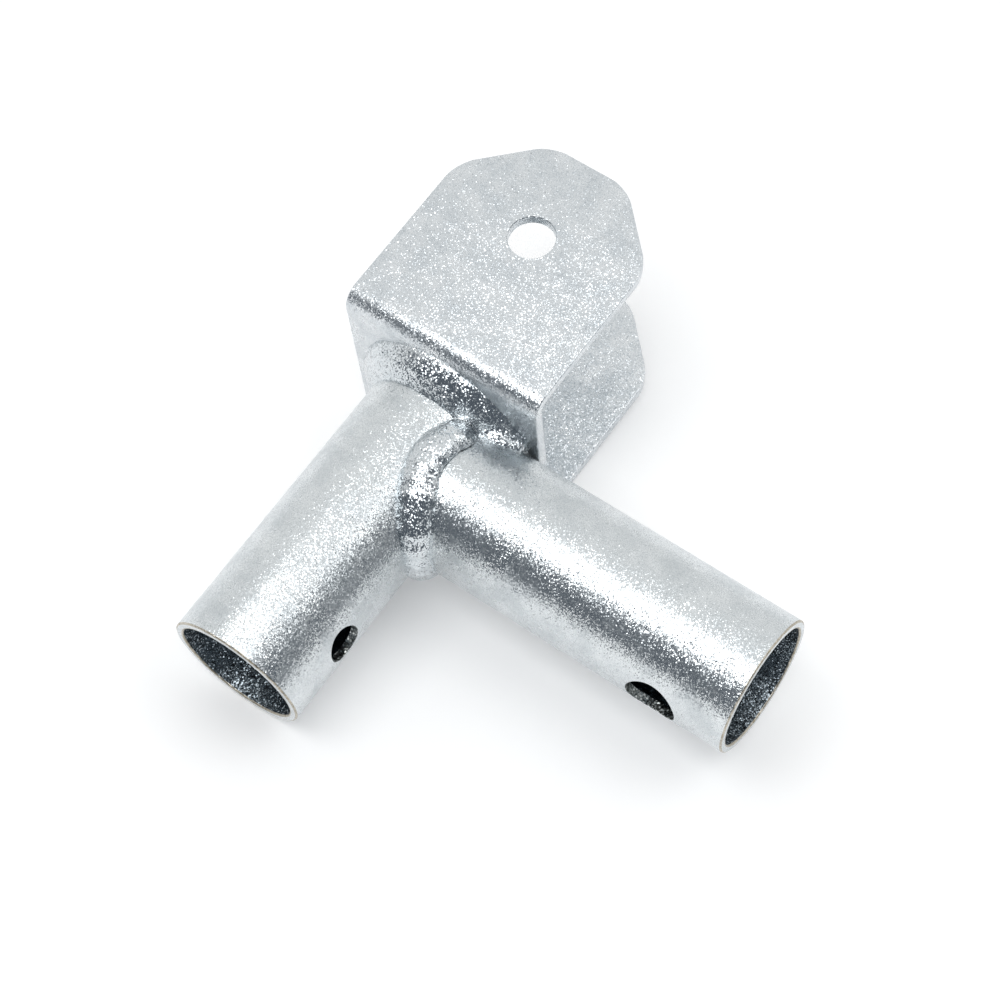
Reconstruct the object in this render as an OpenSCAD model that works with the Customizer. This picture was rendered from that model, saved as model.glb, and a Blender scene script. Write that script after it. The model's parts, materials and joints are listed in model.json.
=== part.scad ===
// Corner socket of a trampoline frame: two tubes and a folded fork, welded into one.
// The tube axes cross at the origin. The side tube opens along +X, the main tube along -Y,
// the fork points along +Y and Z is up. All sizes are in millimetres.

/* [Tubes] */
// Outside diameter of both tubes
tube_d = 25.4; // [22:0.1:29]
// Wall of both tubes
tube_wall = 1.5; // [1:0.1:2.5]
// From the crossing of the axes to the mouth of the main tube
main_reach = 47; // [42:0.5:90]
// From the crossing of the axes to the mouth of the side tube
side_reach = 74; // [52:0.5:120]
// Break on the edges of both mouths
mouth_break = 0.3; // [0.1:0.05:0.4]

/* [Cope of the side tube] */
// Gap at the weld's root between the coped end and the main tube
root_gap = 0.2; // [0.1:0.05:0.5]
// From the main tube's axis to the trimmed tips of the cope
tip_trim = 7.8; // [6:0.1:9]
// Widening of the side tube's bore at its coped end
ream = 0.4; // [0.2:0.05:0.8]

/* [Lock holes] */
// From each mouth to the centre of its lock hole
lock_set = 14; // [9:0.5:18]
// Diameter of the main tube's lock hole
main_lock_d = 6.8; // [4:0.1:9]
// Turn of the main tube's lock hole above level, in degrees
main_lock_turn = 7; // [-20:1:20]
// Diameter of the side tube's lock hole
side_lock_d = 9.6; // [4:0.1:12]

/* [Fork] */
// Thickness of the folded sheet
sheet = 2; // [1.5:0.1:3]
// Width of the fork across its cheeks
fork_w = 40; // [38:0.5:60]
// Height of the fork over both cheeks
fork_h = 40; // [38:0.5:60]
// Length of the cheeks from the web's outer face
cheek_len = 45; // [42:0.5:70]
// Corner cut off each free end of a cheek
corner_cut = 12; // [8:0.5:14]
// Rounding of the cut corners
corner_r = 8; // [2:0.5:9]
// Inside radius of the two folds
bend_r = 1.5; // [1:0.1:3]
// Diameter of the pin hole through both cheeks
pin_d = 8.4; // [5:0.1:13]
// From the web's outer face to the centre of the pin hole
pin_set = 27.5; // [22:0.5:32]
// Gap between the side tube and the web
web_gap = 0.3; // [0.2:0.05:0.6]

/* [Welds] */
// Leg of the ring weld on the tube and on the web
ring_leg = 5; // [3:0.1:5.5]
// Crown of the ring weld over its flat face
ring_crown = 0.7; // [0.2:0.1:1]
// Radius of one lump of the saddle weld
bead_r = 4.3; // [3.9:0.1:4.7]
// How deep the lumps sit in the groove at the top and bottom of the tubes
bead_sink = 2.2; // [1.8:0.1:2.6]
// How deep they sit in the corner at the sides of the tubes
side_sink = 0.8; // [0.4:0.1:1.2]
// Angle from one lump to the next round the side tube
bead_step = 12; // [8:1:14]
// Rise of the seat weld up the web above its toe on the side tube
seat_rise = 1.3; // [0.5:0.1:2.5]
// Reach of the seat weld along the side tube past the side of the main tube
seat_reach = 5.2; // [4.2:0.1:6.2]
// Fall of the seat weld towards its end, in degrees
seat_fall = 28; // [20:1:36]

/* [Hidden] */
$fn = 96;
zinc = "#c9ced1";
weld_zinc = "#aeb4b9";
// Room by which a cutter runs past what it cuts
past = 2;
tube_r = tube_d / 2;
bore_r = tube_r - tube_wall;
web_y = tube_r + web_gap;
main_len = web_y + main_reach;
fold_r = bend_r + sheet;
// Straight stretch that the rounding takes off each side of a cut corner
round_off = corner_r * tan(22.5);
corner_steps = 10;
// Root, end and highest toe of the seat weld on the side tube's wall, as angles above level
seat_root = 14;
seat_end = 35;
seat_toe = 50;
// Where the side tube's bore is clear of the main tube, from the crossing of the axes
bore_from = tube_r + root_gap;
crown_steps = 4;
// The saddle weld leaves out this angle each way from the web, where the other welds lie
bead_from = 66;

// Tube stood on Z from 0, its mouth at the top
module tube(length) {
    rotate_extrude()
        polygon([
            [bore_r, 0],
            [tube_r, 0],
            [tube_r, length - mouth_break],
            [tube_r - mouth_break, length],
            [bore_r + mouth_break, length],
            [bore_r, length - mouth_break]
        ]);
}

// Lays a shape that stands on Z along -Y, from the web's outer face
module from_web() {
    translate([0, web_y, 0])
        rotate([90, 0, 0])
            children();
}

// Lays a shape that stands on Z along +X, from the main tube's axis
module along_x() {
    rotate([0, 90, 0])
        children();
}

// Solid rod as thick as the side tube
module side_rod() {
    along_x()
        cylinder(r = tube_r, h = side_reach - mouth_break);
}

// Cone that widens the side tube's bore where the main tube's wall closes it
module reamer() {
    along_x()
        cylinder(r1 = bore_r + ream, r2 = bore_r - ream * past / bore_from, h = bore_from + past);
}

// What the cope takes off the inner end of the side tube
module cope() {
    from_web()
        cylinder(r = bore_from, h = main_len);
    translate([-past, -tube_d, -tube_d])
        cube([tip_trim + past, 2 * tube_d, 2 * tube_d]);
}

module main_tube() {
    color(zinc)
        difference() {
            from_web()
                tube(main_len);
            translate([0, lock_set - main_reach, 0])
                rotate([0, -main_lock_turn, 0])
                    along_x()
                        cylinder(d = main_lock_d, h = tube_d);
        }
}

module side_tube() {
    color(zinc)
        difference() {
            along_x()
                tube(side_reach);
            cope();
            reamer();
            translate([side_reach - lock_set, 0, 0])
                rotate([90, 0, 0])
                    cylinder(d = side_lock_d, h = tube_d);
        }
}

function arc(x, y, r, from, to) = [
    for (i = [0 : corner_steps])
        let (a = from + (to - from) * i / corner_steps)
            [x + r * cos(a), y + r * sin(a)]
];

// Outline of a cheek in X and Y, measured from the web's outer face
module cheek_outline() {
    side_x = fork_w / 2 - corner_r;
    side_y = cheek_len - corner_cut - round_off;
    end_x = fork_w / 2 - corner_cut - round_off;
    end_y = cheek_len - corner_r;
    polygon(concat(
        [[-fork_w / 2, 0], [fork_w / 2, 0]],
        arc(side_x, side_y, corner_r, 0, 45),
        arc(end_x, end_y, corner_r, 45, 90),
        arc(-end_x, end_y, corner_r, 90, 135),
        arc(-side_x, side_y, corner_r, 135, 180)
    ));
}

// One cheek, its fold and half the web, seen along X
module fold_section() {
    translate([fold_r, fork_h / 2 - sheet])
        square([cheek_len - fold_r, sheet]);
    translate([fold_r, fork_h / 2 - fold_r])
        intersection() {
            difference() {
                circle(fold_r);
                circle(bend_r);
            }
            translate([-fold_r, 0])
                square(fold_r);
        }
    square([sheet, fork_h / 2 - fold_r]);
}

module fork_bracket() {
    color(zinc)
        translate([0, web_y, 0])
            difference() {
                intersection() {
                    translate([-fork_w / 2, 0, 0])
                        rotate([90, 0, 90])
                            linear_extrude(fork_w) {
                                fold_section();
                                mirror([0, 1])
                                    fold_section();
                            }
                    translate([0, 0, -fork_h / 2])
                        linear_extrude(fork_h)
                            cheek_outline();
                }
                translate([0, pin_set, -fork_h / 2 - past])
                    cylinder(d = pin_d, h = fork_h + 2 * past);
            }
}

// Crowned face of the ring weld, from its toe on the web to its toe on the tube
function ring_face() = [
    for (i = [0 : crown_steps])
        let (t = i / crown_steps, bulge = ring_crown * 4 * t * (1 - t) / sqrt(2))
            [tube_r + ring_leg * (1 - t) + bulge, ring_leg * t + bulge]
];

// Main tube and its ring weld as one solid of revolution that runs past the web's face
module welded_main() {
    from_web()
        rotate_extrude()
            polygon(concat(
                [[0, -past], [tube_r + ring_leg, -past]],
                ring_face(),
                [[tube_r, main_len], [0, main_len]]
            ));
}

module ring_weld() {
    color(weld_zinc)
        difference() {
            from_web()
                rotate_extrude()
                    polygon(concat([[tube_r, 0]], ring_face()));
            side_rod();
        }
}

// Filler in the groove between the side tube and the web, on the upper side
module seat_bead() {
    difference() {
        rotate([90, 0, 90])
            linear_extrude(tube_r + seat_reach)
                difference() {
                    polygon([
                        [web_y, tube_r * sin(seat_root)],
                        [web_y, tube_r * sin(seat_toe) + seat_rise],
                        [bore_r * cos(seat_toe), bore_r * sin(seat_toe)],
                        [bore_r * cos(seat_toe), tube_r * sin(seat_root)]
                    ]);
                    circle(tube_r);
                }
        translate([tube_r + seat_reach, 0, tube_r * sin(seat_end)])
            rotate([0, seat_fall, 0])
                translate([-tube_d, 0, 0])
                    cube([2 * tube_d, tube_d, tube_d]);
    }
}

module seat_beads() {
    seat_bead();
    mirror([0, 0, 1])
        seat_bead();
}

module seat_weld() {
    color(weld_zinc)
        difference() {
            seat_beads();
            welded_main();
        }
}

// Place of a saddle lump at an angle round the side tube, 0 at the web
function groove(a) =
    let (r = tube_r - bead_sink * pow(sin(a), 2) - side_sink * pow(cos(a), 2))
        [norm([(tube_r - side_sink) * cos(a), tip_trim * sin(a)]), r * cos(a), r * sin(a)];

module saddle_weld() {
    color(weld_zinc)
        difference() {
            for (a = [bead_from : bead_step : 360 - bead_from])
                translate(groove(a))
                    sphere(bead_r);
            welded_main();
            reamer();
            difference() {
                side_rod();
                cope();
            }
            seat_beads();
        }
}

main_tube();
side_tube();
fork_bracket();
ring_weld();
seat_weld();
saddle_weld();
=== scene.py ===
# %% [markdown]
# # Dressing a welded corner socket
# The real part is a small weldment of a trampoline frame: two short tubes at a right angle and a
# folded steel fork, joined by thick weld beads and then zinc plated as one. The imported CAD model
# gives every size and place. This lesson rebuilds each piece with the softened edges, rolled hole
# rims and lumpy weld metal that a camera sees, and gives it a plated finish.

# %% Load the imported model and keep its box
import json
import math

import bmesh
import bpy
from mathutils import Matrix, Vector, noise


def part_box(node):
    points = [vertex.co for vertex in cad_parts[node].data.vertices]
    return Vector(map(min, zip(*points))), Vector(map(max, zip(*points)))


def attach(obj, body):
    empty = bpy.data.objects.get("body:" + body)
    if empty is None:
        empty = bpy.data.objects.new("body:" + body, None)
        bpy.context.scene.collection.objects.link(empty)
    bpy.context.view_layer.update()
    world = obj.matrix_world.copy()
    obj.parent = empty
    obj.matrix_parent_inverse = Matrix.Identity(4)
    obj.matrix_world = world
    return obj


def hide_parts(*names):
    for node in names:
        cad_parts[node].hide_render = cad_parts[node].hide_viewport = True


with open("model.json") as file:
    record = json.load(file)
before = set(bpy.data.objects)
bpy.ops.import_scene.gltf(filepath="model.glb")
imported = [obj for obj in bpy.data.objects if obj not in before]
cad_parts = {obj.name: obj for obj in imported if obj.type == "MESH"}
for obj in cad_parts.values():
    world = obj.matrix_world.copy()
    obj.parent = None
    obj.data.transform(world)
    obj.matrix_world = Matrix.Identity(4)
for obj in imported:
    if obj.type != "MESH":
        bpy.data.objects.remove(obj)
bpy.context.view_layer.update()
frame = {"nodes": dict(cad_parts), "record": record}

# %% [markdown]
# ## Sizes
# A dressed piece has to sit exactly where its CAD solid does, so nothing is typed twice: the boxes
# of the nodes and the stated bores give the radii, lengths and hole places that the cells below use.

# %% Read the sizes off the CAD nodes and the stated bores
MM = 0.001
# Points nearer to each other than this count as one
NEAR = 0.001 * MM
bores = {mount["name"]: mount for mount in frame["record"]["mounts"]}
main_low, main_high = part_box("main_tube")
side_low, side_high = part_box("side_tube")
fork_low, fork_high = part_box("fork_bracket")
tube_r = main_high.x
bore_r = bores["main_socket"]["dims"]["r_mm"] * MM
web_y = fork_low.y
fork_half_w = fork_high.x
fork_half_h = fork_high.z
print(f"tube {2 * tube_r / MM:.2f} mm over a bore of {2 * bore_r / MM:.2f} mm")
print(f"web at y {web_y / MM:.2f} mm")

# %% [markdown]
# ## Small helpers
# Blender's mesh tools work on a bmesh, which is a mesh held in memory. Three jobs come back for
# every piece: carving one shape out of another, turning a bmesh into a finished object, and adding
# a shader node. Each gets one short function.

# %% Helpers for carving and for finishing a piece
def temporary(shape, name):
    """Puts a bmesh in the scene for as long as a modifier needs it."""
    mesh = bpy.data.meshes.new(name)
    shape.to_mesh(mesh)
    shape.free()
    obj = bpy.data.objects.new(name, mesh)
    bpy.context.scene.collection.objects.link(obj)
    return obj


def settle(obj):
    """Reads an object with its modifiers into a new bmesh, and removes the object."""
    shape = bmesh.new()
    bpy.context.view_layer.update()
    shape.from_object(obj, bpy.context.evaluated_depsgraph_get())
    discard(obj)
    return shape


def discard(obj):
    mesh = obj.data
    bpy.data.objects.remove(obj)
    bpy.data.meshes.remove(mesh)


def carve(shape, cutter):
    """Takes the cutter out of the shape."""
    blank = temporary(shape, "blank")
    tool = temporary(cutter, "tool")
    boolean = blank.modifiers.new("carve", "BOOLEAN")
    boolean.operation = "DIFFERENCE"
    boolean.solver = "EXACT"
    boolean.object = tool
    carved = settle(blank)
    discard(tool)
    return carved


def finish_piece(shape, name, materials, nodes, crease=35):
    """Makes the object, shades it smooth up to the crease angle, and ties it to the CAD."""
    mesh = bpy.data.meshes.new(name)
    shape.to_mesh(mesh)
    shape.free()
    for material in materials:
        mesh.materials.append(material)
    mesh.shade_smooth()
    mesh.set_sharp_from_angle(angle=math.radians(crease))
    obj = bpy.data.objects.new(name, mesh)
    bpy.context.scene.collection.objects.link(obj)
    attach(obj, "root")
    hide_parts(*nodes)
    mesh.calc_loop_triangles()
    print(f"{name}: {len(mesh.vertices)} vertices, {len(mesh.loop_triangles)} triangles")


# %% [markdown]
# ## Colours and nodes
# Colours are written as sRGB hex values, as a paint program shows them. Shaders work in linear
# light, so one function converts them. Another adds a node with its settings and links in one line.

# %% Helpers for colours and shader nodes
def linear(hex_colour):
    """Linear RGBA of an sRGB hex colour."""
    parts = [int(hex_colour[i:i + 2], 16) / 255 for i in (1, 3, 5)]
    return [c / 12.92 if c <= 0.04045 else ((c + 0.055) / 1.055) ** 2.4 for c in parts] + [1.0]


def add(tree, kind, inputs, **settings):
    """Adds a node. An input is a value, or the output socket that feeds it.

    A Mix node's two colours are its inputs 6 and 7, and its output 2 is the mixed colour.
    """
    node = tree.nodes.new(kind)
    for name, value in settings.items():
        setattr(node, name, value)
    for socket, value in inputs.items():
        if isinstance(value, bpy.types.NodeSocket):
            tree.links.new(value, node.inputs[socket])
        else:
            node.inputs[socket].default_value = value
    return node


def blank_material(name):
    """A material with nothing in it but its output. Returns it with its tree and its output."""
    material = bpy.data.materials.new(name)
    material.use_nodes = True
    tree = material.node_tree
    tree.nodes.clear()
    return material, tree, tree.nodes.new("ShaderNodeOutputMaterial")


print("mid grey in linear light:", [round(c, 3) for c in linear("#808080")[:3]])

# %% [markdown]
# ## Zinc-plated steel
# The part was barrel plated with bright zinc after welding. Zinc gives the eye a pale metal with a
# faint blue cast. It grows in crystals that lean a few degrees each its own way, so the plating
# glitters: where a highlight ends, some crystals still catch it and their neighbours do not. Cells of a
# Voronoi pattern stand for the crystals. Real ones are too fine to show here, so they are drawn about a
# fifth of a millimetre wide. Each cell's random colour tips the surface, and its cube does so for most
# cells by a little and for a few by a lot, which are the sparks. Clouds of a few millimetres make the
# zinc a little duller or darker, and a low swell stands for the unevenness of the steel below.

# %% Zinc plate over drawn tube and rolled sheet
# Width of a cloud, and height of the swell in the steel
CLOUD = 5 * MM
SWELL = 0.04 * MM
# Most of the clouds' pattern lies between these values
CLOUD_LOW, CLOUD_HIGH = 0.3, 0.7
# And these hold most of its sum with the distance from a crystal's middle
DULL_LOW, DULL_HIGH = 0.5, 1.4


def zinc_plate(name, pale, dull, crystal_mm, lean, gloss, matt):
    """Zinc between two colours and two roughnesses, in crystals of a size that lean up to an amount."""
    material, tree, output = blank_material(name)
    place = tree.nodes.new("ShaderNodeTexCoord").outputs["Object"]
    clouds = add(tree, "ShaderNodeTexNoise", {
        "Vector": place, "Scale": 1 / CLOUD, "Detail": 4.0, "Roughness": 0.6})
    crystals = add(tree, "ShaderNodeTexVoronoi", {"Vector": place, "Scale": 1 / (crystal_mm * MM)})
    dullness = add(tree, "ShaderNodeMath", {
        0: clouds.outputs["Fac"], 1: crystals.outputs["Distance"]}, operation="ADD")
    spread = add(tree, "ShaderNodeMapRange", {
        "Value": dullness.outputs[0], "From Min": DULL_LOW, "From Max": DULL_HIGH,
        "To Min": 0.0, "To Max": 1.0})
    tint = add(tree, "ShaderNodeMix", {
        0: spread.outputs["Result"], 6: linear(pale), 7: linear(dull)}, data_type="RGBA")
    sheen = add(tree, "ShaderNodeMapRange", {
        "Value": clouds.outputs["Fac"], "From Min": CLOUD_LOW, "From Max": CLOUD_HIGH,
        "To Min": gloss, "To Max": matt})
    swell = add(tree, "ShaderNodeBump", {
        "Strength": 1.0, "Distance": SWELL, "Height": clouds.outputs["Fac"]})
    even = add(tree, "ShaderNodeVectorMath", {
        0: crystals.outputs["Color"], 1: (2, 2, 2), 2: (-1, -1, -1)}, operation="MULTIPLY_ADD")
    squared = add(tree, "ShaderNodeVectorMath", {
        0: even.outputs["Vector"], 1: even.outputs["Vector"]}, operation="MULTIPLY")
    cubed = add(tree, "ShaderNodeVectorMath", {
        0: squared.outputs["Vector"], 1: even.outputs["Vector"]}, operation="MULTIPLY")
    tipped = add(tree, "ShaderNodeVectorMath", {
        0: cubed.outputs["Vector"], 1: (lean, lean, lean), 2: swell.outputs["Normal"]},
        operation="MULTIPLY_ADD")
    facing = add(tree, "ShaderNodeVectorMath", {0: tipped.outputs["Vector"]}, operation="NORMALIZE")
    shader = add(tree, "ShaderNodeBsdfPrincipled", {
        "Base Color": tint.outputs[2], "Metallic": 1.0, "Roughness": sheen.outputs["Result"],
        "Normal": facing.outputs["Vector"]})
    tree.links.new(shader.outputs["BSDF"], output.inputs["Surface"])
    steepest = math.degrees(math.atan(lean))
    print(f"{name}: crystals of {crystal_mm} mm that lean up to {steepest:.0f} degrees")
    return material


# Drawn tube: bright with an even, fine glitter
zinc_tube = zinc_plate("zinc_plated_tube", "#EAEDEE", "#BFC5C8",
                       crystal_mm=0.17, lean=0.28, gloss=0.23, matt=0.31)
# Rolled sheet: a little softer than the tubes, with more sparks
zinc_sheet = zinc_plate("zinc_plated_sheet", "#F1F3F4", "#BCC3C8",
                        crystal_mm=0.17, lean=0.37, gloss=0.25, matt=0.33)
# Weld metal: smooth and shiny, with coarser crystals that flash black and white
zinc_weld = zinc_plate("zinc_plated_weld", "#EAEDEF", "#C0C7CB",
                       crystal_mm=0.23, lean=0.42, gloss=0.13, matt=0.19)
# Cut edges: the plating is thin and worn to a straw brown
zinc_edge = zinc_plate("worn_zinc_on_cut_edge", "#D3CEC4", "#9A917F",
                       crystal_mm=0.36, lean=0.40, gloss=0.28, matt=0.38)
# Inside of a tube: coloured darker than the outside zinc as painted shade in the bore, with single
# bright sparks
bore_zinc_painted_shade = zinc_plate("bore_zinc_with_painted_shade", "#9FA8AE", "#687177",
                       crystal_mm=0.20, lean=0.52, gloss=0.18, matt=0.26)
# Wall of a punched hole: torn steel, mottled grey
zinc_hole = zinc_plate("torn_zinc_in_hole", "#E2E6E5", "#4A504E",
                       crystal_mm=0.36, lean=0.60, gloss=0.22, matt=0.32)

# %% [markdown]
# ## A tube with a rounded mouth
# A tube is a ring-shaped section turned about its axis, so its four corners are spun full circle.
# The saw leaves a sharp mouth that tumbling in the plating barrel rounds a little, so the two edges
# of the mouth get a bevel. Rolling a flat strip would do too, but the spin needs four points only.

# %% Spin a tube
TURNS = 192
RIM_BREAK, RIM_STEPS = 0.3 * MM, 4
# Places of the finishes in a tube's list: its outside comes first, as 0
EDGE, BORE, HOLE = 1, 2, 3
tube_finishes = [zinc_tube, zinc_edge, bore_zinc_painted_shade, zinc_hole]


def spun_tube(start, mouth):
    """Tube on Z from start to its mouth."""
    shape = bmesh.new()
    corners = [(bore_r, start), (tube_r, start), (tube_r, mouth), (bore_r, mouth)]
    section = [shape.verts.new((r, 0, z)) for r, z in corners]
    for i in range(4):
        shape.edges.new((section[i], section[(i + 1) % 4]))
    bmesh.ops.spin(shape, geom=shape.verts[:] + shape.edges[:], cent=(0, 0, 0), axis=(0, 0, 1),
                   angle=2 * math.pi, steps=TURNS, use_merge=True)
    bmesh.ops.remove_doubles(shape, verts=shape.verts, dist=NEAR)
    bmesh.ops.recalc_face_normals(shape, faces=shape.faces)
    rim = [e for e in shape.edges if all(abs(v.co.z - mouth) < NEAR for v in e.verts)
           and abs(e.verts[0].co.xy.length - e.verts[1].co.xy.length) < NEAR]
    bmesh.ops.bevel(shape, geom=rim, affect="EDGES", offset=RIM_BREAK, segments=RIM_STEPS, profile=0.5,
                    material=-1)
    # The bore's faces look sideways, and the mouth's rounds neither sideways nor straight up
    for face in shape.faces:
        centre = face.calc_center_median()
        if abs(face.normal.z) < 0.01 and centre.xy.length < bore_r + NEAR:
            face.material_index = BORE
        elif centre.z > mouth - RIM_BREAK and face.normal.z < 0.99:
            face.material_index = EDGE
    return shape


print(f"tubes turn in {TURNS} steps, mouths rounded by {RIM_BREAK / MM:.1f} mm")

# %% [markdown]
# ## Punched lock holes
# Each tube has a round hole near its mouth for a spring button. A punch drags the surface in with
# it, so the hole's rim is rolled over and shines. The cutter below is a stack of circles joined into
# one plug: above the tube it is wide, and it narrows through a quarter round to the hole's own size.
# Each circle is laid on the tube's curve, so the roll-over is equally deep all round the hole.

# %% Cutter for a lock hole in the tube's wall
ROLL = 0.2 * MM
# The roll-over starts at this angle, in degrees, and a little above the wall so that no skin is left
ROLL_FROM, ROLL_STEPS = 25, 6
ROLL_LIFT = 0.03 * MM
HOLE_TURNS = 72
# By how much the plug runs past the wall on the outside and on the inside
PLUG_OUT, PLUG_IN = 1.0 * MM, 2.0 * MM


def lock_cutter(hole_r, height, turn):
    """Plug for a hole at a height on Z, turned about Z from +X."""
    rings = [(hole_r + ROLL, -PLUG_OUT)]
    for i in range(ROLL_STEPS + 1):
        a = math.radians(ROLL_FROM + (90 - ROLL_FROM) * i / ROLL_STEPS)
        depth = ROLL * (math.cos(math.radians(ROLL_FROM)) - math.cos(a)) - ROLL_LIFT
        rings.append((hole_r + ROLL * (1 - math.sin(a)), depth))
    rings.append((hole_r, tube_r - bore_r + PLUG_IN))
    plug = bmesh.new()
    loops = []
    for radius, depth in rings:
        ring = bmesh.ops.create_circle(plug, segments=HOLE_TURNS, radius=radius, cap_ends=False)["verts"]
        for v in ring:
            across, along = v.co.x, v.co.y
            v.co = (math.sqrt((tube_r - depth) ** 2 - across ** 2), across, along)
        loops.append(list({e for v in ring for e in v.link_edges}))
    for upper, lower in zip(loops, loops[1:]):
        bmesh.ops.bridge_loops(plug, edges=upper + lower)
    bmesh.ops.holes_fill(plug, edges=loops[0] + loops[-1], sides=0)
    bmesh.ops.recalc_face_normals(plug, faces=plug.faces)
    for face in plug.faces:
        face.material_index = HOLE
    place = Matrix.Translation((0, 0, height)) @ Matrix.Rotation(turn, 4, "Z")
    bmesh.ops.transform(plug, matrix=place, verts=plug.verts)
    return plug


print(f"lock holes rolled over by {ROLL / MM:.1f} mm")

# %% [markdown]
# ## Main tube
# The main tube runs from the fork's web to its mouth. It is spun upright, its lock hole is carved,
# and then it is laid along its real axis, so that the object itself stays at the origin.

# %% Make the main tube
main_place = Matrix.Translation((0, web_y, 0)) @ Matrix.Rotation(math.radians(90), 4, "X")
lock = bores["main_lock"]
lock_turn = math.atan2(lock["axis"][2], lock["axis"][0])
shape = spun_tube(0, web_y - main_low.y)
shape = carve(shape, lock_cutter(lock["dims"]["r_mm"] * MM, web_y - lock["pos_m"][1], lock_turn))
bmesh.ops.transform(shape, matrix=main_place, verts=shape.verts)
finish_piece(shape, "main_socket_tube", tube_finishes, ["main_tube"])

# %% [markdown]
# ## Side tube
# The side tube is cut to a saddle so that it sits against the main tube's wall: the fitter's word is
# a cope. The same cope is carved here with a cylinder a root gap wider than the main tube, and the
# two thin tips that it leaves are trimmed flat where the CAD solid ends.

# %% Make the side tube
ROOT_GAP = 0.2 * MM
side_place = Matrix.Rotation(math.radians(90), 4, "Y")
lock = bores["side_lock"]
shape = spun_tube(side_low.x, side_high.x)
shape = carve(shape, lock_cutter(lock["dims"]["r_mm"] * MM, lock["pos_m"][0], math.radians(-90)))
bmesh.ops.transform(shape, matrix=side_place, verts=shape.verts)
cope = bmesh.new()
bmesh.ops.create_cone(cope, cap_ends=True, segments=TURNS, radius1=tube_r + ROOT_GAP,
                      radius2=tube_r + ROOT_GAP, depth=4 * tube_r)
bmesh.ops.rotate(cope, verts=cope.verts, matrix=Matrix.Rotation(math.radians(90), 3, "X"))
shape = carve(shape, cope)
finish_piece(shape, "side_socket_tube", tube_finishes, ["side_tube"])

# %% [markdown]
# ## Fork
# The fork is one blank of sheet steel with a hole punched at each end, folded twice into a U. Bending
# a line first and giving it thickness last follows the press: four points are the outer line of the
# U, an extrusion gives the width, two vertex bevels cut and round the corners, an edge bevel rounds
# the folds, and the sheet's thickness goes inwards.

# %% Fold the sheet
SHEET = 2.0 * MM
FOLD_R = 3.5 * MM
FOLD_STEPS = 12
CORNER_CUT = 12.0 * MM
CORNER_R = 8.0 * MM
CORNER_STEPS = 10
shape = bmesh.new()
line = [(fork_high.y, fork_half_h), (web_y, fork_half_h),
        (web_y, -fork_half_h), (fork_high.y, -fork_half_h)]
points = [shape.verts.new((-fork_half_w, y, z)) for y, z in line]
for first, second in zip(points, points[1:]):
    shape.edges.new((first, second))
swept = bmesh.ops.extrude_edge_only(shape, edges=shape.edges[:])
bmesh.ops.translate(shape, vec=(2 * fork_half_w, 0, 0),
                    verts=[g for g in swept["geom"] if isinstance(g, bmesh.types.BMVert)])
bmesh.ops.recalc_face_normals(shape, faces=shape.faces)
free_ends = [v for v in shape.verts if v.co.y > fork_high.y - NEAR]
bmesh.ops.bevel(shape, geom=free_ends, affect="VERTICES", offset=CORNER_CUT, segments=1, profile=0.5,
                material=-1)
# A cut of 45 degrees is rounded by a circle that starts this far from its corner
round_off = CORNER_R * math.tan(math.radians(22.5))
cut_ends = [v for v in shape.verts if v.co.y > web_y + NEAR]
bmesh.ops.bevel(shape, geom=cut_ends, affect="VERTICES", offset=round_off, segments=CORNER_STEPS,
                profile=0.5, material=-1)
folds = [e for e in shape.edges if all(abs(v.co.y - web_y) < NEAR for v in e.verts)
         and abs(e.verts[0].co.z - e.verts[1].co.z) < NEAR]
bmesh.ops.bevel(shape, geom=folds, affect="EDGES", offset=FOLD_R, segments=FOLD_STEPS, profile=0.5,
                material=-1)
print("folded skin:", len(shape.faces), "faces,", len(folds), "folds")

# %% Give the sheet its thickness
bmesh.ops.recalc_face_normals(shape, faces=shape.faces)
web = max(shape.faces, key=lambda f: -f.calc_center_median().y)
if web.normal.y > 0:
    bmesh.ops.reverse_faces(shape, faces=shape.faces)
bmesh.ops.solidify(shape, geom=shape.faces[:], thickness=SHEET)
bmesh.ops.recalc_face_normals(shape, faces=shape.faces)
low = [min(v.co[i] for v in shape.verts) / MM for i in range(3)]
high = [max(v.co[i] for v in shape.verts) / MM for i in range(3)]
print("fork box in mm:", [round(c, 2) for c in low], [round(c, 2) for c in high])

# %% [markdown]
# The shear and the punch leave edges that the plating barrel softens. Every edge sharper than a fold
# facet gets a small round, and the pin hole's cutter carries its own rounds at both faces of a cheek.

# %% Soften the cut edges and punch the pin hole
EDGE_ROUND, EDGE_STEPS = 0.3 * MM, 3
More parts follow.
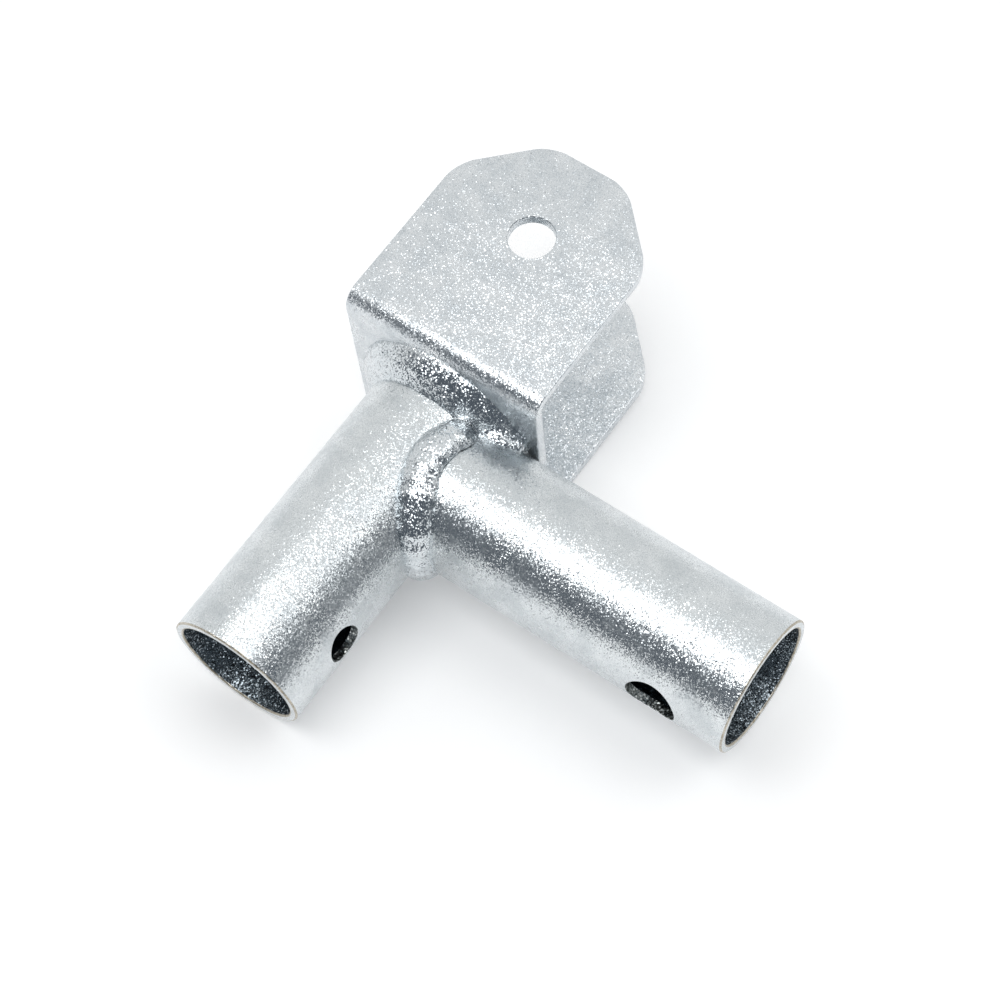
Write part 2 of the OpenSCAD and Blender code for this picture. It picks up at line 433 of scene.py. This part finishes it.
# An edge is a cut one if its faces turn by more than this
CUT_ANGLE = math.radians(40)
PIN_ROUND = 0.15 * MM
PIN_TURNS = 96
sharp = [e for e in shape.edges if len(e.link_faces) == 2 and e.calc_face_angle() > CUT_ANGLE]
bmesh.ops.bevel(shape, geom=sharp, affect="EDGES", offset=EDGE_ROUND, segments=EDGE_STEPS, profile=0.5,
                material=-1)
pin = bores["fork_pin"]
pin_r = pin["dims"]["r_mm"] * MM
for side in (1, -1):
    punch = bmesh.new()
    outer, inner = fork_half_h, fork_half_h - SHEET
    rings = [(pin_r + PIN_ROUND, outer + MM), (pin_r + PIN_ROUND, outer), (pin_r, outer - PIN_ROUND),
             (pin_r, inner + PIN_ROUND), (pin_r + PIN_ROUND, inner), (pin_r + PIN_ROUND, inner - MM)]
    line = [punch.verts.new((r, 0, z)) for r, z in rings]
    for first, second in zip(line, line[1:]):
        punch.edges.new((first, second))
    bmesh.ops.spin(punch, geom=punch.verts[:] + punch.edges[:], cent=(0, 0, 0), axis=(0, 0, 1),
                   angle=2 * math.pi, steps=PIN_TURNS, use_merge=True)
    bmesh.ops.remove_doubles(punch, verts=punch.verts, dist=NEAR)
    bmesh.ops.holes_fill(punch, edges=[e for e in punch.edges if e.is_boundary], sides=0)
    bmesh.ops.scale(punch, vec=(1, 1, side), verts=punch.verts)
    bmesh.ops.translate(punch, vec=Vector((pin["pos_m"][0], pin["pos_m"][1], 0)), verts=punch.verts)
    bmesh.ops.recalc_face_normals(punch, faces=punch.faces)
    shape = carve(shape, punch)
finish_piece(shape, "folded_fork", [zinc_sheet], ["fork_bracket"])

# %% [markdown]
# ## Weld metal
# The three welds were laid hot and ran into each other, so they are dressed as one lumpy skin. Copies
# of the CAD welds are rooted a little into the steel they join, fused by a voxel remesh, smoothed,
# and pushed in and out by noise: waves of a few millimetres from the welder's hand, and finer pits.

# %% Root the welds in the steel
WELD_NODES = ["ring_weld", "seat_weld", "saddle_weld"]
ROOT_DEPTH = 0.7 * MM
# A point of a weld lies on the steel if it is nearer than this
TOUCH = 0.02 * MM


def into_steel(co):
    """Step from a point on a tube's wall or on the web to a point just inside that steel, or None."""
    step = Vector((0, 0, 0))
    main_out = Vector((co.x, 0, co.z))
    side_out = Vector((0, co.y, co.z))
    if abs(main_out.length - tube_r) < TOUCH:
        step -= main_out.normalized() * ROOT_DEPTH
    if abs(side_out.length - tube_r) < TOUCH and co.x > side_low.x:
        step -= side_out.normalized() * ROOT_DEPTH
    if abs(co.y - web_y) < TOUCH:
        step.y += ROOT_DEPTH
    return step if step.length > 0 else None


weld = bmesh.new()
for node in WELD_NODES:
    weld.from_mesh(frame["nodes"][node].data)
bmesh.ops.remove_doubles(weld, verts=weld.verts, dist=NEAR)
seats = [f for f in weld.faces if all(into_steel(v.co) for v in f.verts)]
rooted = bmesh.ops.extrude_face_region(weld, geom=seats)
for vert in [g for g in rooted["geom"] if isinstance(g, bmesh.types.BMVert)]:
    vert.co += into_steel(vert.co)
print("weld faces seated on steel:", len(seats))

# %% Fuse, smooth and roughen the weld
VOXEL = 0.28 * MM
SMOOTHINGS = 12
# Width and height in mm of the welder's waves, of lumps and of pits, and a shift that makes each its own
ROUGHNESS = [(3.4, 0.20, (0, 0, 0)), (1.6, 0.05, (31, 7, 3)), (0.8, 0.01, (5, 17, 23))]
fused = temporary(weld, "fused")
remesh = fused.modifiers.new("fuse", "REMESH")
remesh.mode = "VOXEL"
remesh.voxel_size = VOXEL
weld = settle(fused)
for _ in range(SMOOTHINGS):
    bmesh.ops.smooth_vert(weld, verts=weld.verts, factor=0.5,
                          use_axis_x=True, use_axis_y=True, use_axis_z=True)
weld.normal_update()
pushes = []
for vert in weld.verts:
    place = vert.co / MM
    height = sum(high * noise.noise(place / wide + Vector(shift)) for wide, high, shift in ROUGHNESS)
    pushes.append(vert.normal * MM * height)
for vert, push in zip(weld.verts, pushes):
    vert.co += push
finish_piece(weld, "weld_beads", [zinc_weld], WELD_NODES, crease=180)

# %% [markdown]
# ## Floor
# The part lies as it would on a table: on the fork's lower fold and the bottom of the main tube's
# mouth, which tips it by six and a half degrees. The floor takes that tilt so the part's own axes stay
# square. It is white paper; what the camera and the metal see of it is lifted to white, and the
# shadow stays because that lift is added to the lit paper.

# %% Lay the floor
# The fold touches the floor below the middle of its bend
REST_Y = web_y + FOLD_R
FLOOR_HALF = 3.0
# How much of white the camera and the metal see on top of the lit paper
FLOOR_LIFT = 0.20
slope = (-main_high.z + fork_half_h) / (REST_Y - main_low.y)
shape = bmesh.new()
bmesh.ops.create_grid(shape, x_segments=1, y_segments=1, size=FLOOR_HALF)
tilt = Matrix.Translation((0, REST_Y, -fork_half_h)) @ Matrix.Rotation(-math.atan(slope), 4, "X")
bmesh.ops.transform(shape, matrix=tilt, verts=shape.verts)
paper, tree, output = blank_material("white_paper_floor")
seen = tree.nodes.new("ShaderNodeLightPath")
straight = add(tree, "ShaderNodeMath", {
    0: seen.outputs["Is Camera Ray"], 1: seen.outputs["Is Glossy Ray"]}, operation="MAXIMUM")
through = add(tree, "ShaderNodeMath", {
    0: straight.outputs[0], 1: seen.outputs["Is Transmission Ray"]}, operation="MAXIMUM")
lift = add(tree, "ShaderNodeMath", {0: through.outputs[0], 1: FLOOR_LIFT}, operation="MULTIPLY")
lit = add(tree, "ShaderNodeBsdfDiffuse", {"Color": linear("#F2F2F2")})
glow = add(tree, "ShaderNodeEmission", {"Color": linear("#FFFFFF"), "Strength": lift.outputs[0]})
both = add(tree, "ShaderNodeAddShader", {0: lit.outputs[0], 1: glow.outputs[0]})
tree.links.new(both.outputs[0], output.inputs["Surface"])
mesh = bpy.data.meshes.new("floor")
shape.to_mesh(mesh)
shape.free()
mesh.materials.append(paper)
floor = bpy.data.objects.new("floor", mesh)
bpy.context.scene.collection.objects.link(floor)
print(f"floor tilted by {math.degrees(math.atan(slope)):.2f} degrees")

# %% [markdown]
# ## Light
# A large soft box hangs overhead and draws the broad highlight along the side tube and the fold. A
# smaller one behind on the right does the same for the main tube. Round them stands a white tent,
# bright behind and to the left of the part and open to a dim room at the front. That opening is the
# dark band along each tube: shiny metal shows what it faces.

# %% Hang the soft boxes
def soft_box(name, towards, distance, width, height, radiance):
    """Area light in a direction from the part, facing it, in metres. Radiance 1 is white."""
    lamp = bpy.data.lights.new(name, "AREA")
    lamp.shape = "RECTANGLE"
    lamp.size = width
    lamp.size_y = height
    lamp.energy = radiance * math.pi * width * height
    obj = bpy.data.objects.new(name, lamp)
    aim = Vector(towards).normalized()
    obj.location = aim * distance
    obj.rotation_euler = aim.to_track_quat("Z", "Y").to_euler()
    bpy.context.scene.collection.objects.link(obj)
    print(f"{name}: {lamp.energy:.1f} W")


soft_box("overhead_box", towards=(-0.03, -0.27, 0.96), distance=1.0, width=0.95, height=0.52,
         radiance=3.2)
soft_box("back_right_box", towards=(0.50, 0.37, 0.79), distance=1.0, width=0.50, height=0.40,
         radiance=1.8)

# %% Put the white tent round the part
# The way to the tent's closed side, and where along it the cloth is dim and white
CLOSED_SIDE = (-0.40, 0.917, 0.0)
DIM_AT, WHITE_AT = -0.40, 0.35
world = bpy.data.worlds.new("white_tent")
bpy.context.scene.world = world
world.use_nodes = True
tree = world.node_tree
tree.nodes.clear()
around = tree.nodes.new("ShaderNodeTexCoord").outputs["Generated"]
closed = add(tree, "ShaderNodeVectorMath", {0: around, 1: CLOSED_SIDE}, operation="DOT_PRODUCT")
shade = add(tree, "ShaderNodeMapRange", {
    "Value": closed.outputs["Value"], "From Min": DIM_AT, "From Max": WHITE_AT, "To Min": 0.0,
    "To Max": 1.0}, interpolation_type="SMOOTHSTEP")
cloth = add(tree, "ShaderNodeMix", {
    0: shade.outputs["Result"], 6: linear("#5E656D"), 7: linear("#F2F3F3")}, data_type="RGBA")
tent = add(tree, "ShaderNodeBackground", {"Color": cloth.outputs[2], "Strength": 1.0})
sky = tree.nodes.new("ShaderNodeOutputWorld")
tree.links.new(tent.outputs["Background"], sky.inputs["Surface"])
print("tent closed towards", CLOSED_SIDE)

# %% [markdown]
# ## Camera
# The photograph was taken from above at about sixty degrees. The camera's place, aim, roll and lens
# were found by fitting a pinhole camera to the part's edges.

# %% Set up the camera
CAMERA_AT = Vector((147.0, -136.5, 376.4)) * MM
LOOKS_AT = Vector((17.95, 3.90, 0.0)) * MM
CAMERA_ROLL = math.radians(-7.86)
eye = bpy.data.cameras.new("camera")
eye.sensor_fit = "HORIZONTAL"
eye.sensor_width = 36.0
eye.lens = 88.45
eye.clip_start = 0.01
eye.dof.use_dof = False
camera = bpy.data.objects.new("camera", eye)
forward = (LOOKS_AT - CAMERA_AT).normalized()
aim = forward.to_track_quat("-Z", "Y").to_matrix().to_4x4()
camera.matrix_world = Matrix.Translation(CAMERA_AT) @ aim @ Matrix.Rotation(CAMERA_ROLL, 4, "Z")
bpy.context.scene.collection.objects.link(camera)
bpy.context.scene.camera = camera
bpy.context.scene.view_settings.view_transform = "Standard"
print("camera looks along", [round(c, 3) for c in forward])
